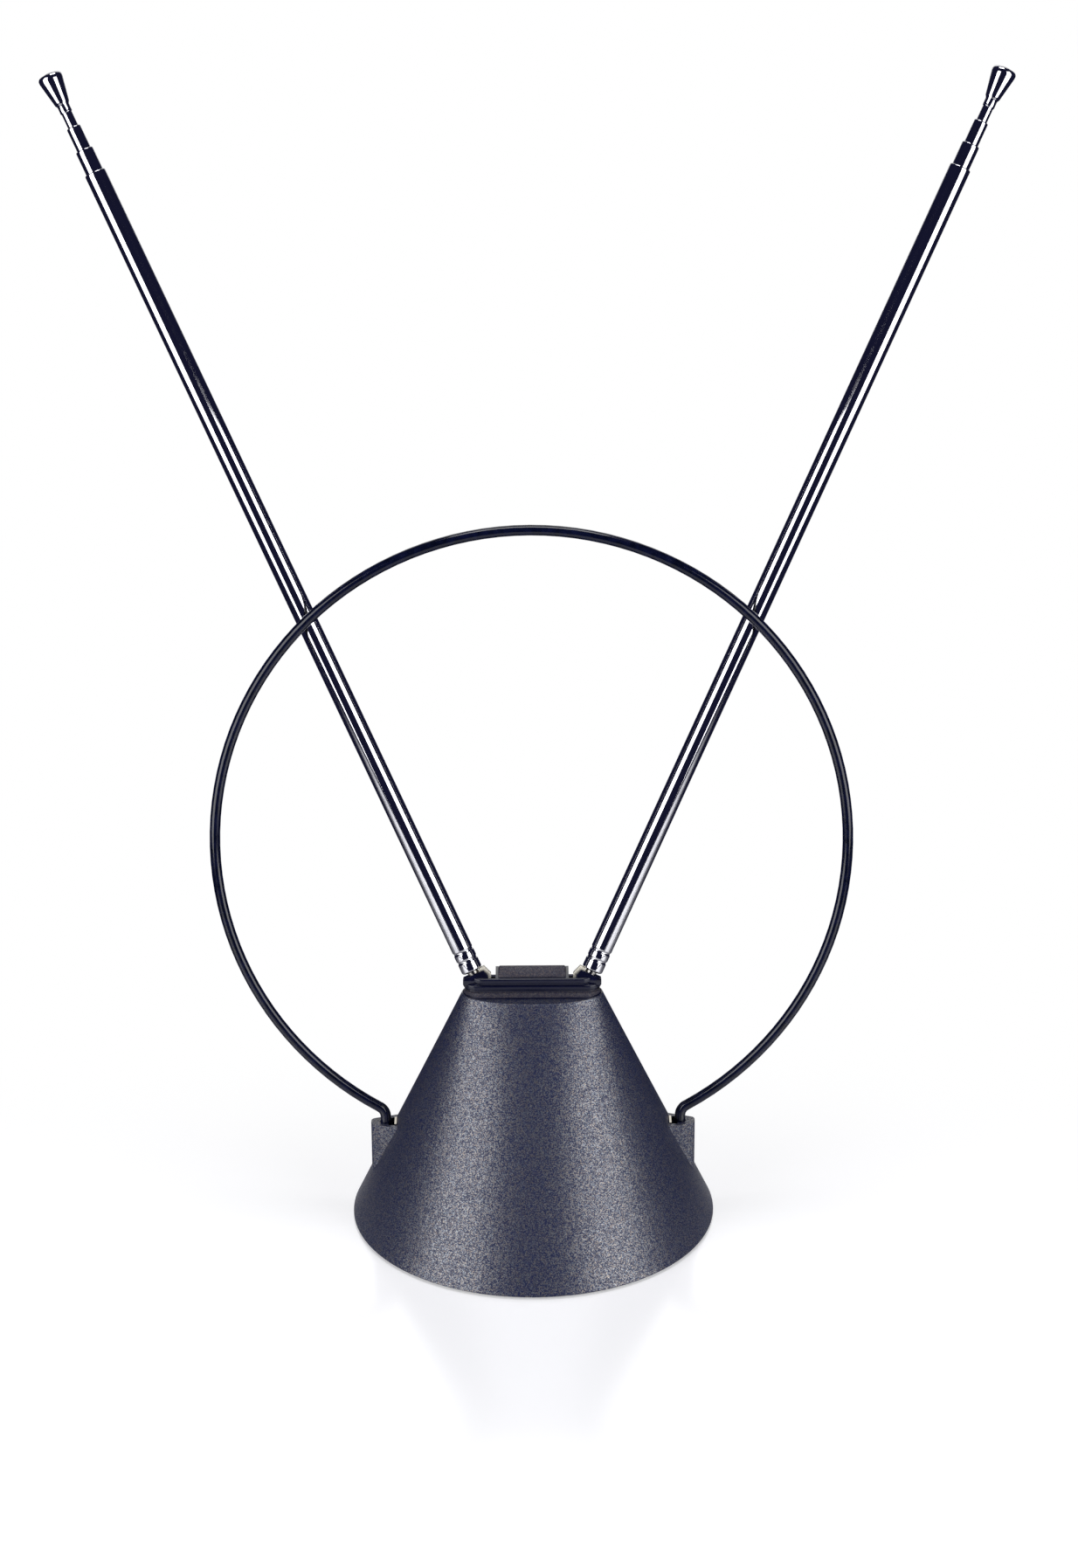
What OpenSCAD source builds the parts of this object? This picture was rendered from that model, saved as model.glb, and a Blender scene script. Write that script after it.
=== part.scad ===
// Indoor television antenna: two telescopic rods and one wire loop on a weighted base.
// Millimetres. The origin is the middle of the footprint, on the surface that it stands on.
// +Z is up, -Y is the front and +X is the right-hand side seen from the front.

/* [Base] */
// Diameter of the round foot of the housing
foot_d = 104; // [96:1:120]
// Height of the shelf at the top of the housing
body_h = 69.7; // [60:0.1:80]
// Width of the housing's oval top
neck_w = 39.8; // [39.4:0.2:44]
// Depth of the housing's oval top
neck_d = 16.8; // [16:0.2:24]
// Thickness of the moulded wall
wall = 2.2; // [1.8:0.1:3]
// Height of the rubber feet below the rim of the housing
foot_drop = 0.8; // [0.5:0.1:1.5]

/* [Loop sockets] */
// Distance of each loop socket from the middle
socket_x = 42.2; // [41:0.1:44]
// Height of the top of the sockets
socket_top = 28.5; // [26:0.5:32]
// Distance of the outer wall of each socket from the middle
socket_out_x = 46.4; // [45.6:0.1:48]

/* [Loop] */
// Diameter of the loop's wire
wire_d = 3; // [2.6:0.1:3.1]
// Radius of the loop, measured to the middle of its wire
loop_r = 89.3; // [80:0.1:95]
// Straight length of each leg between its bend backwards and its bend sideways
leg_straight = 1.2; // [1:0.1:6]
// Angle by which the loop leans back
loop_lean = 10; // [0:0.5:11]

/* [Hinge] */
// Height of the hinge axis
hinge_z = 74.2; // [74:0.1:74.4]
// Diameter of each hinge pin
pin_d = 1.7; // [1.4:0.1:1.8]
// Half width of the round-bottomed knuckle, which is its turning radius
knuckle_r = 3.3; // [3.1:0.1:3.3]

/* [Rods] */
// Angle by which each rod leans out sideways
spread = 24.8; // [22:0.2:27]
// Angle by which the rods lean back
lean = 19; // [18:0.5:24]
// Outer diameter of the widest tube
tube_d = 6; // [5.6:0.1:6]
// How much thinner each tube is than the one around it
tube_step = 1; // [0.95:0.05:1]
// Length of the widest tube
tube_len = 247; // [180:1:260]
// Length of each thinner tube that shows while the rod is pushed together
tube_show = 6.9; // [5:0.1:8]
// Largest diameter of the knob on the tip
knob_d = 7; // [6:0.1:8]

/* [Hidden] */

LEFT = -1;
RIGHT = 1;
sliver = 0.01;
reach = 60;

// Colours
charcoal = [0.20, 0.20, 0.25];
head_black = [0.09, 0.09, 0.13];
cap_grey = [0.36, 0.33, 0.35];
gloss_black = [0.04, 0.04, 0.07];
chrome_grey = [0.82, 0.82, 0.84];
brass_gold = [0.80, 0.66, 0.36];
steel_grey = [0.55, 0.56, 0.58];
rubber_black = [0.07, 0.07, 0.07];
board_green = [0.10, 0.32, 0.20];
ferrite_grey = [0.22, 0.22, 0.22];

// Housing
foot_r = foot_d / 2;
rim_z = foot_drop;
deck = 2.4;
plug_w = 30;
plug_d = 6;
plug_drop = 7.4;
slide_gap = 0.2;

// Loop sockets
socket_clear = 0.1;
socket_floor = 15.5;
socket_base = 12;
socket_root_x = 38;
socket_root_d = 9.2;
socket_nose_r = 1.5;
socket_nose_d = 4.4;
clip_slot_x = 38.9;
clip_slot_d = 4.6;
clip_t = 0.6;
clip_d = 4.3;

// Loop: its two bends, and its centre's distance from its foot along the leaning plane
bend_r = 3.2;
lean_bend_r = 4;
bend_swell = 0.01;
loop_foot = socket_top + 0.4;
loop_rise = leg_straight + sqrt(pow(loop_r + bend_r, 2) - pow(socket_x + bend_r, 2));

// Cable outlet
outlet_z = 11;
outlet_face_y = 48.8;
outlet_in_y = 39;
outlet_r = 5.4;
outlet_bore_r = 3.2;
grommet_bore_r = 2.1;
grommet_flange = 1.2;
grommet_lip = 1;

// Base plate and what it carries
plate_r = 47.2;
plate_z = 1.1;
plate_t = 2.4;
plate_top = plate_z + plate_t;
screw_ring_r = 39.6;
screw_angles = [30, 150, 270];
screw_r = 1.25;
screw_head_r = 2.7;
screw_head_h = 1.2;
screw_len = 9;
boss_r = 3.4;
boss_h = 12;
foot_ring_r = 38;
foot_pad_r = 4.5;
centre_pad_r = 7;
foot_sink = 0.7;
ballast_r = 34;
ballast_in_r = 15;
ballast_t = 4.5;
fence_t = 1.2;
post_x = 9;
post_r = 2.2;
post_h = 7;
board_w = 26;
board_d = 16;
board_t = 1.6;
core_w = 8;
core_d = 7;
core_h = 6;

// Hinge head: a plain foot band, then two ribs with a groove under each
head_w = 39.2;
head_d = 9;
head_round = 4.3;
band_h = 1.9;
groove_h = 0.6;
rib_h = 1.45;
groove_depth = 0.55;
rib_step = 1.7;
head_top = body_h + band_h + 2 * (groove_h + rib_h);
trough_r = knuckle_r + 0.25;
trough_x = 10.3;
rear_drop = 4;
cap_w = 20.2;
cap_top_w = 18.6;
cap_d = 6.4;
cap_ridge = 1.2;
cap_h = 2;
pin_in_x = 3;
pin_out_x = 16.6;
run_gap = 0.05;

// Knuckle and contact strip, in the frame of the hinge axis before it leans back
strip_t = 0.8;
strip_d = 3.4;
strip_eye = 1.7;
knuckle_in_x = 12.4;
knuckle_out_x = 19.5;
rod_end_x = 16.84;
rod_end_z = 1.9;
stem_r = 1.6;
stem_len = 3.9;
seat_x = rod_end_x - strip_t * sin(spread);
seat_z = rod_end_z - strip_t * cos(spread);
seat_in_x = seat_x - tube_d / 2 * cos(spread);

// Tubes
tube_r = [for (i = [0:3]) (tube_d - i * tube_step) / 2];
tube_wall = 0.35;
lip_len = 2.5;
collar_len = 4;
nest_step = 5;
nest_first = 12;
tube_top = [for (i = [0:3]) tube_len + i * tube_show];
plug_len = 9;
end_curl = 0.7;
crimp_at = [3.5, 6.2];
crimp_w = 1.3;
crimp_depth = 0.35;
knob_len = 9.4;
knob_neck_r = 1.7;
knob_neck_len = 2.6;
knob_base_r = 2.1;
knob_round = 1.5;
knob_hold = 4;

round_fn = 64;
body_fn = 128;
wire_fn = 32;

// Height of the knuckle's sloping seat over the hinge axis at a distance x from the middle
function seat_height(x) = seat_z - (x - seat_x) * tan(spread);

// Points of an arc about a centre, for profiles
function arc(cx, cy, r, from, to, steps) =
    [for (i = [0:steps]) let (a = from + (to - from) * i / steps) [cx + r * cos(a), cy + r * sin(a)]];

// A plate with rounded corners, its plan centred on the origin
module rounded_plate(w, d, r, h) {
    linear_extrude(h) {
        square([w - 2 * r, d], center = true);
        square([w, d - 2 * r], center = true);
        for (x = [-1, 1], y = [-1, 1])
            translate([x * (w / 2 - r), y * (d / 2 - r)])
                circle(r, $fn = round_fn);
    }
}

// A round bar along X from x0 to x1 at the height of the hinge axis
module bar_x(r, x0, x1) {
    translate([x0, 0, 0])
        rotate([0, 90, 0])
            cylinder(r = r, h = x1 - x0, $fn = round_fn);
}

// The housing's outer form, or its cavity: a round foot drawn up into the narrow oval top
module housing_form(inset, z0, z1, layers) {
    foot = foot_r - inset;
    translate([0, 0, z0])
        linear_extrude(
            z1 - z0,
            scale = [(neck_w / 2 - inset) / foot, (neck_d / 2 - inset) / foot],
            slices = layers,
            $fn = body_fn
        )
            circle(foot);
}

// Upright boss that takes one end of the loop, tapered towards its rounded nose
module socket_boss() {
    nose_x = socket_out_x - socket_nose_r;
    translate([0, 0, socket_base])
        linear_extrude(socket_top - socket_base)
            hull() {
                translate([socket_root_x, -socket_root_d / 2])
                    square([sliver, socket_root_d]);
                for (y = [-1, 1])
                    translate([nose_x, y * (socket_nose_d / 2 - socket_nose_r)])
                        circle(socket_nose_r, $fn = wire_fn);
            }
}

// Hole for the loop's end, and the slot for its contact clip
module socket_cut() {
    translate([socket_x, 0, socket_floor])
        cylinder(r = wire_d / 2 + socket_clear, h = reach, $fn = round_fn);
    translate([clip_slot_x, -clip_slot_d / 2, socket_floor])
        cube([socket_x - clip_slot_x - 0.8, clip_slot_d, reach]);
}

module housing() {
    color(charcoal)
        difference() {
            union() {
                difference() {
                    housing_form(0, rim_z, body_h, 12);
                    housing_form(wall, rim_z - 1, body_h - deck, 4);
                }
                for (side = [LEFT, RIGHT])
                    mirror([side == LEFT ? 1 : 0, 0, 0])
                        socket_boss();
                outlet_boss();
                screw_bosses();
            }
            for (side = [LEFT, RIGHT])
                mirror([side == LEFT ? 1 : 0, 0, 0])
                    socket_cut();
            translate([0, 0, outlet_z])
                rotate([-90, 0, 0])
                    cylinder(r = outlet_bore_r, h = reach, $fn = round_fn);
            translate([-plug_w / 2 - slide_gap, -plug_d / 2 - slide_gap, body_h - deck - reach / 2])
                cube([plug_w + 2 * slide_gap, plug_d + 2 * slide_gap, reach]);
            for (a = screw_angles)
                rotate(a)
                    translate([screw_ring_r, 0, plate_top])
                        cylinder(r = screw_r, h = screw_len, $fn = round_fn);
        }
}

// Round cable outlet at the rear
module outlet_boss() {
    translate([0, outlet_in_y, outlet_z])
        rotate([-90, 0, 0])
            cylinder(r = outlet_r, h = outlet_face_y - outlet_in_y, $fn = round_fn);
}

// Screw bosses inside the housing, trimmed to its outer form
module screw_bosses() {
    intersection() {
        housing_form(wall / 2, rim_z, body_h, 4);
        for (a = screw_angles)
            rotate(a)
                translate([screw_ring_r, 0, plate_top])
                    cylinder(r = boss_r, h = boss_h, $fn = round_fn);
    }
}

// Trough in which one knuckle turns, open above and to the rear
module knuckle_trough() {
    out = reach - trough_x;
    translate([0, 0, hinge_z])
        bar_x(trough_r, trough_x, reach);
    translate([trough_x, -trough_r, hinge_z])
        cube([out, trough_r + reach, reach]);
    translate([trough_x, 0, hinge_z - rear_drop])
        cube([out, reach, reach]);
}

module hinge_head() {
    core_w = head_w - 2 * groove_depth;
    core_d = head_d - 2 * groove_depth;
    low_rib_z = body_h + band_h + groove_h;
    high_rib_z = low_rib_z + rib_h + groove_h;
    color(head_black)
        difference() {
            union() {
                translate([0, 0, body_h])
                    rounded_plate(head_w, head_d, head_round, band_h);
                translate([0, 0, body_h])
                    rounded_plate(core_w - 2 * rib_step, core_d, head_round - groove_depth, head_top - body_h);
                translate([0, 0, body_h])
                    rounded_plate(core_w, core_d, head_round - groove_depth, high_rib_z - body_h);
                translate([0, 0, low_rib_z])
                    rounded_plate(head_w, head_d, head_round, rib_h);
                translate([0, 0, high_rib_z])
                    rounded_plate(head_w - 2 * rib_step, head_d, head_round, rib_h);
                head_plug();
            }
            for (side = [LEFT, RIGHT])
                mirror([side == LEFT ? 1 : 0, 0, 0]) {
                    knuckle_trough();
                    translate([0, 0, hinge_z])
                        bar_x(pin_d / 2, pin_in_x, reach);
                }
        }
}

// Tongue that drops through the deck, with a barb at each end that snaps under it
module head_plug() {
    barb = 1;
    barb_h = 2.2;
    translate([-plug_w / 2, -plug_d / 2, body_h - plug_drop])
        cube([plug_w, plug_d, plug_drop]);
    for (side = [LEFT, RIGHT])
        mirror([side == LEFT ? 1 : 0, 0, 0])
            translate([plug_w / 2, plug_d / 2, body_h - deck - barb_h])
                rotate([90, 0, 0])
                    linear_extrude(plug_d)
                        polygon([[-sliver, 0], [barb, barb_h - 0.4], [barb, barb_h], [-sliver, barb_h]]);
}

// Roof-shaped cap over the inner ends of the hinge pins
module hinge_cap() {
    side_run = (cap_w - cap_top_w) / 2;
    color(cap_grey)
        intersection() {
            translate([-cap_w / 2, 0, head_top])
                rotate([90, 0, 90])
                    linear_extrude(cap_w)
                        polygon([
                            [-cap_d / 2, 0], [cap_d / 2, 0],
                            [cap_ridge / 2, cap_h], [-cap_ridge / 2, cap_h]
                        ]);
            translate([0, cap_d, head_top])
                rotate([90, 0, 0])
                    linear_extrude(2 * cap_d)
                        polygon([
                            [-cap_w / 2, 0], [cap_w / 2, 0],
                            [cap_w / 2 - side_run, cap_h], [side_run - cap_w / 2, cap_h]
                        ]);
        }
}

module base_plate() {
    color(head_black)
        difference() {
            union() {
                translate([0, 0, plate_z])
                    cylinder(r = plate_r, h = plate_t, $fn = body_fn);
                translate([0, 0, plate_top])
                    ballast_fence();
                for (x = [-post_x, post_x])
                    translate([x, 0, plate_top])
                        cylinder(r = post_r, h = post_h, $fn = round_fn);
            }
            for (a = screw_angles)
                rotate(a)
                    translate([screw_ring_r, 0, 0]) {
                        cylinder(r = screw_r + 0.15, h = reach, $fn = round_fn);
                        cylinder(r = screw_head_r + 0.2, h = plate_z + screw_head_h, $fn = round_fn);
                    }
            for (a = [45:90:315])
                rotate(a)
                    translate([foot_ring_r, 0, plate_z - sliver])
                        cylinder(r = foot_pad_r, h = foot_sink + sliver, $fn = round_fn);
            translate([0, 0, plate_z - sliver])
                cylinder(r = centre_pad_r, h = foot_sink + sliver, $fn = round_fn);
        }
}

// Low ring wall that keeps the ballast in the middle
module ballast_fence() {
    difference() {
        cylinder(r = ballast_r + slide_gap + fence_t, h = ballast_t - 1, $fn = body_fn);
        translate([0, 0, -1])
            cylinder(r = ballast_r + slide_gap, h = ballast_t + 1, $fn = body_fn);
    }
}

module ballast_ring() {
    color(steel_grey)
        translate([0, 0, plate_top])
            rotate_extrude($fn = body_fn)
                polygon([
                    [ballast_in_r, 0], [ballast_r, 0], [ballast_r, ballast_t - 0.6],
                    [ballast_r - 0.6, ballast_t], [ballast_in_r, ballast_t]
                ]);
}

// Self-tapping screw, its head down, with a cross recess
module plate_screw() {
    recess = 0.7;
    difference() {
        union() {
            cylinder(r = screw_head_r, h = screw_head_h, $fn = round_fn);
            cylinder(r = screw_r, h = screw_head_h + screw_len - 0.5, $fn = round_fn);
        }
        for (a = [0, 90])
            rotate(a)
                translate([-screw_head_r * 0.6, -recess / 2, -sliver])
                    cube([screw_head_r * 1.2, recess, recess]);
    }
}

module plate_screws() {
    color(steel_grey)
        for (a = screw_angles)
            rotate(a)
                translate([screw_ring_r, 0, plate_z])
                    plate_screw();
}

// Rubber pad with a rounded lower edge, sunk into the base plate
module rubber_pad(r) {
    soft = 0.4;
    pad_h = plate_z + foot_sink;
    color(rubber_black)
        rotate_extrude($fn = round_fn)
            polygon(concat(
                [[0, 0]],
                arc(r - soft, soft, soft, -90, 0, 4),
                [[r, pad_h], [0, pad_h]]
            ));
}

// One of the four feet near the rim
module foot_pad(index) {
    rotate(45 + 90 * (index - 1))
        translate([foot_ring_r, 0, 0])
            rubber_pad(foot_pad_r);
}

// Pad in the middle, under the weight
module centre_foot() {
    rubber_pad(centre_pad_r);
}

// Circuit board of the matching transformer, on the two posts
module balun_board() {
    color(board_green)
        translate([-board_w / 2, -board_d / 2, plate_top + post_h])
            cube([board_w, board_d, board_t]);
}

// Two-hole ferrite core of the matching transformer
module balun_core() {
    hole_r = 1.2;
    color(ferrite_grey)
        translate([-core_w / 2, core_d / 2, plate_top + post_h + board_t])
            rotate([90, 0, 0])
                linear_extrude(core_d)
                    difference() {
                        square([core_w, core_h]);
                        for (x = [core_w / 4, core_w * 3 / 4])
                            translate([x, core_h / 2])
                                circle(hole_r, $fn = round_fn);
                    }
}

// Soft bush that lines the cable outlet, held by its flange outside and its lip inside
module cable_grommet() {
    body_r = outlet_bore_r;
    flange_r = outlet_r - 0.7;
    lip_r = outlet_bore_r + 0.7;
    back = outlet_in_y - grommet_lip;
    front = outlet_face_y + grommet_flange;
    color(rubber_black)
        translate([0, 0, outlet_z])
            rotate([-90, 0, 0])
                rotate_extrude($fn = round_fn)
                    polygon(concat(
                        [
                            [grommet_bore_r, back], [lip_r - 0.5, back], [lip_r, outlet_in_y],
                            [body_r, outlet_in_y], [body_r, outlet_face_y], [flange_r, outlet_face_y]
                        ],
                        arc(flange_r - 0.6, front - 0.6, 0.6, 0, 90, 4),
                        [[grommet_bore_r, front]]
                    ));
}

// Bend in the loop's wire: pressing swells it a little, and it laps over what it joins
module wire_bend(radius, angle) {
    lap = 0.1 / radius * 180 / PI;
    rotate(-lap)
        rotate_extrude(angle = angle + 2 * lap, $fn = round_fn)
            translate([radius, 0])
                circle(wire_d / 2 + bend_swell, $fn = wire_fn);
}

// Wire loop: one large arc, a tight bend at each end and two upright legs in the sockets
module loop_wire() {
    half_gap = asin((socket_x + bend_r) / (loop_r + bend_r));
    color(gloss_black) {
        translate([0, 0, loop_foot])
            rotate([90 - loop_lean, 0, 0]) {
                translate([0, loop_rise, 0])
                    rotate(half_gap - 90)
                        rotate_extrude(angle = 360 - 2 * half_gap, $fn = 2 * body_fn)
                            translate([loop_r, 0])
                                circle(wire_d / 2, $fn = wire_fn);
                for (side = [LEFT, RIGHT])
                    mirror([side == LEFT ? 1 : 0, 0, 0])
                        translate([socket_x + bend_r, leg_straight, 0])
                            rotate(90 + half_gap)
                                wire_bend(bend_r, 90 - half_gap);
            }
        for (side = [LEFT, RIGHT])
            translate([side * socket_x, 0, 0])
                loop_leg();
    }
}

// Leg of the loop: upright in its socket, then bent back into the loop's leaning plane
module loop_leg() {
    leg_end = socket_floor + 0.6;
    bend_run = lean_bend_r * tan(loop_lean / 2);
    translate([0, 0, leg_end])
        cylinder(r = wire_d / 2, h = loop_foot - bend_run - leg_end, $fn = wire_fn);
    translate([0, lean_bend_r, loop_foot - bend_run])
        rotate([0, -90, 0])
            rotate(-90)
                wire_bend(lean_bend_r, loop_lean);
    translate([0, 0, loop_foot])
        rotate([-loop_lean, 0, 0])
            translate([0, 0, bend_run])
                cylinder(r = wire_d / 2, h = leg_straight - bend_run, $fn = wire_fn);
}

// Springy contact clip in one loop socket, with a nose that bears on the wire
module loop_clip(side) {
    x0 = clip_slot_x + 0.2;
    nose_x = socket_x - wire_d / 2 - 0.05;
    nose_z = (socket_floor + socket_top) / 2;
    color(chrome_grey)
        mirror([side == LEFT ? 1 : 0, 0, 0])
            translate([0, clip_d / 2, 0])
                rotate([90, 0, 0])
                    linear_extrude(clip_d)
                        polygon([
                            [x0, socket_floor], [x0 + clip_t, socket_floor],
                            [x0 + clip_t, nose_z - 3], [nose_x, nose_z], [x0 + clip_t, nose_z + 3],
                            [x0 + clip_t, socket_top + 0.3], [x0, socket_top + 0.3],
                            [x0, nose_z + 2.6], [nose_x - clip_t, nose_z], [x0, nose_z - 2.6]
                        ]);
}

// Frame of one side's swinging parts: the hinge axis, leant back, mirrored for the left
module swing_frame(side) {
    translate([0, 0, hinge_z])
        rotate([-lean, 0, 0])
            mirror([side == LEFT ? 1 : 0, 0, 0])
                children();
}

// Frame of one rod: its lower end at the origin and its axis along +Z
module rod_frame(side) {
    swing_frame(side)
        translate([rod_end_x, 0, rod_end_z])
            rotate([0, spread, 0])
                children();
}

module hinge_pin(side) {
    color(steel_grey)
        translate([0, 0, hinge_z])
            mirror([side == LEFT ? 1 : 0, 0, 0])
                bar_x(pin_d / 2, pin_in_x, pin_out_x);
}

// Knuckle under one rod: round below, a seat square to the rod, and a slope beside the strip
module knuckle(side) {
    low = -knuckle_r - sliver;
    seat_in_z = seat_height(seat_in_x);
    color(gloss_black)
        difference() {
            swing_frame(side)
                intersection() {
                    translate([0, knuckle_r, 0])
                        rotate([90, 0, 0])
                            linear_extrude(2 * knuckle_r)
                                polygon([
                                    [knuckle_in_x, low], [knuckle_out_x - 0.8, low],
                                    [knuckle_out_x, low + 1.6], [knuckle_out_x, seat_height(knuckle_out_x)],
                                    [seat_in_x, seat_in_z],
                                    [knuckle_in_x, seat_in_z - (seat_in_x - knuckle_in_x)]
                                ]);
                    union() {
                        bar_x(knuckle_r, 0, reach);
                        translate([0, -knuckle_r, 0])
                            cube([reach, 2 * knuckle_r, reach]);
                    }
                }
            swing_frame(side)
                bar_x(pin_d / 2 + run_gap, 0, pin_out_x + 0.2);
            rod_frame(side)
                translate([0, 0, -stem_len - 0.1])
                    cylinder(r = stem_r, h = reach, $fn = round_fn);
        }
}

// Bent contact strip: a washer under the rod, a slope down the knuckle and an eye on the pin
module contact_strip(side) {
    rise = strip_t / cos(spread);
    seat_in_z = seat_height(seat_in_x);
    slope_c = seat_in_z - seat_in_x + strip_t * sqrt(2);
    top_x = (seat_height(0) + rise - slope_c) / (1 + tan(spread));
    out_x = knuckle_in_x - strip_t;
    washer_r = tube_r[0] - 0.3;
    color(chrome_grey)
        difference() {
            union() {
                rod_frame(side)
                    translate([0, 0, -strip_t])
                        cylinder(r = washer_r, h = strip_t, $fn = round_fn);
                swing_frame(side)
                    translate([0, strip_d / 2, 0])
                        rotate([90, 0, 0])
                            linear_extrude(strip_d)
                                polygon([
                                    [seat_x - 1, seat_height(seat_x - 1) + rise], [top_x, top_x + slope_c],
                                    [out_x, out_x + slope_c], [out_x, -strip_eye],
                                    [knuckle_in_x, -strip_eye],
                                    [knuckle_in_x, seat_in_z - (seat_in_x - knuckle_in_x)],
                                    [seat_in_x, seat_in_z], [seat_x - 1, seat_height(seat_x - 1)]
                                ]);
            }
            rod_frame(side)
                translate([0, 0, -reach / 2])
                    cylinder(r = stem_r, h = reach, $fn = round_fn);
            swing_frame(side)
                bar_x(pin_d / 2 + run_gap, 0, knuckle_in_x + 0.5);
        }
}

// Outline of a rolled groove in a wall of radius r, between two heights, from below upwards
function groove_points(r, at) = [
    [r, at - crimp_w / 2], [r - crimp_depth, at - crimp_w / 5],
    [r - crimp_depth, at + crimp_w / 5], [r, at + crimp_w / 2]
];

// Brass plug crimped into the rod's lower end, with a stem that the hinge pin goes through
module end_plug(side) {
    plug_r = tube_r[0] - tube_wall - 0.02;
    color(brass_gold)
        difference() {
            rod_frame(side)
                rotate_extrude($fn = round_fn)
                    polygon(concat(
                        [
                            [0, -stem_len], [stem_r - 0.4, -stem_len], [stem_r, -stem_len + 0.4],
                            [stem_r, tube_wall + 0.05], [plug_r - 0.4, tube_wall + 0.05],
                            [plug_r, tube_wall + 0.5]
                        ],
                        groove_points(plug_r, crimp_at[0]),
                        groove_points(plug_r, crimp_at[1]),
                        [[plug_r, plug_len - 0.5], [plug_r - 0.5, plug_len], [0, plug_len]]
                    ));
            swing_frame(side)
                bar_x(pin_d / 2 + run_gap, 0, pin_out_x + 0.2);
        }
}

// Widest tube: crimped on the plug below, rolled inwards to a guiding lip above
module tube_1(side) {
    r = tube_r[0];
    r_in = r - tube_wall;
    lip_r = tube_r[1] + run_gap;
    top = tube_top[0];
    grooves = [for (at = [crimp_at[1], crimp_at[0]]) each reverse(groove_points(r_in, at))];
    color(chrome_grey)
        rod_frame(side)
            rotate_extrude($fn = round_fn)
                polygon(concat(
                    arc(r - end_curl, end_curl, end_curl, -90, 0, 4),
                    groove_points(r, crimp_at[0]),
                    groove_points(r, crimp_at[1]),
                    rolled_end(r, lip_r, r_in, top),
                    grooves,
                    [[r_in, tube_wall + 0.4], [r - end_curl, tube_wall]]
                ));
}

function reverse(list) = [for (i = [len(list) - 1:-1:0]) list[i]];

// Upper end of a tube: rounded over outside, with a lip of radius lip_r inside
function rolled_end(r, lip_r, r_in, top) = concat(
    arc(r - 0.4, top - 0.4, 0.4, 0, 90, 4),
    [[lip_r, top], [lip_r, top - lip_len], [r_in, top - lip_len - 0.5]]
);

// A sliding tube: a collar at its foot runs in the tube around it, and its own lip guides the next
module sliding_tube(side, i) {
    r = tube_r[i];
    r_in = r - tube_wall;
    collar_r = tube_r[i - 1] - tube_wall - run_gap;
    foot = nest_first + (i - 1) * nest_step;
    next_r = i < 3 ? tube_r[i + 1] + run_gap : r_in;
    top = i < 3 ? tube_top[i] : tube_top[3] + knob_hold;
    color(chrome_grey)
        rod_frame(side)
            rotate_extrude($fn = round_fn)
                polygon(concat(
                    [
                        [r_in, foot], [collar_r, foot], [collar_r, foot + collar_len],
                        [r, foot + collar_len + 0.3]
                    ],
                    rolled_end(r, next_r, r_in, top)
                ));
}

// Turned knob on the tip: a short neck, a flare, and a rounded, slightly domed top
module tip_knob(side) {
    foot = tube_top[3] - knob_neck_len;
    flare = tube_top[3];
    top = flare + knob_len;
    r = knob_d / 2;
    dome = 0.25;
    color(chrome_grey)
        rod_frame(side)
            rotate_extrude($fn = round_fn)
                polygon(concat(
                    [
                        [tube_r[3], foot], [knob_neck_r, foot], [knob_neck_r, flare - 0.3],
                        [knob_base_r - 0.2, flare], [knob_base_r, flare + 0.3]
                    ],
                    arc(r - knob_round, top - knob_round - dome, knob_round, -8, 86, 8),
                    [[0, top], [0, flare + knob_hold], [tube_r[3], flare + knob_hold]]
                ));
}

housing();
hinge_head();
hinge_cap();
base_plate();
ballast_ring();
plate_screws();
foot_pad(1);  // foot_1
foot_pad(2);  // foot_2
foot_pad(3);  // foot_3
foot_pad(4);  // foot_4
centre_foot();
balun_board();
balun_core();
cable_grommet();
loop_wire();
loop_clip(LEFT);  // left_loop_clip
loop_clip(RIGHT);  // right_loop_clip
hinge_pin(LEFT);  // left_hinge_pin
knuckle(LEFT);  // left_knuckle
contact_strip(LEFT);  // left_contact_strip
end_plug(LEFT);  // left_end_plug
tube_1(LEFT);  // left_tube_1
sliding_tube(LEFT, 1);  // left_tube_2
sliding_tube(LEFT, 2);  // left_tube_3
sliding_tube(LEFT, 3);  // left_tube_4
tip_knob(LEFT);  // left_tip_knob
hinge_pin(RIGHT);  // right_hinge_pin
knuckle(RIGHT);  // right_knuckle
contact_strip(RIGHT);  // right_contact_strip
end_plug(RIGHT);  // right_end_plug
tube_1(RIGHT);  // right_tube_1
sliding_tube(RIGHT, 1);  // right_tube_2
sliding_tube(RIGHT, 2);  // right_tube_3
sliding_tube(RIGHT, 3);  // right_tube_4
tip_knob(RIGHT);  // right_tip_knob
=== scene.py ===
"""Dresses the indoor television antenna: finishes, turned parts, studio and camera.

Sizes in the classes are millimetres in the row frame; meshes are made in metres.
"""

import logging
import math
from collections.abc import Callable, Sequence
from dataclasses import dataclass, field
from enum import Enum
from functools import cache

import bmesh
import bpy
from mathutils import Matrix, Vector

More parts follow.
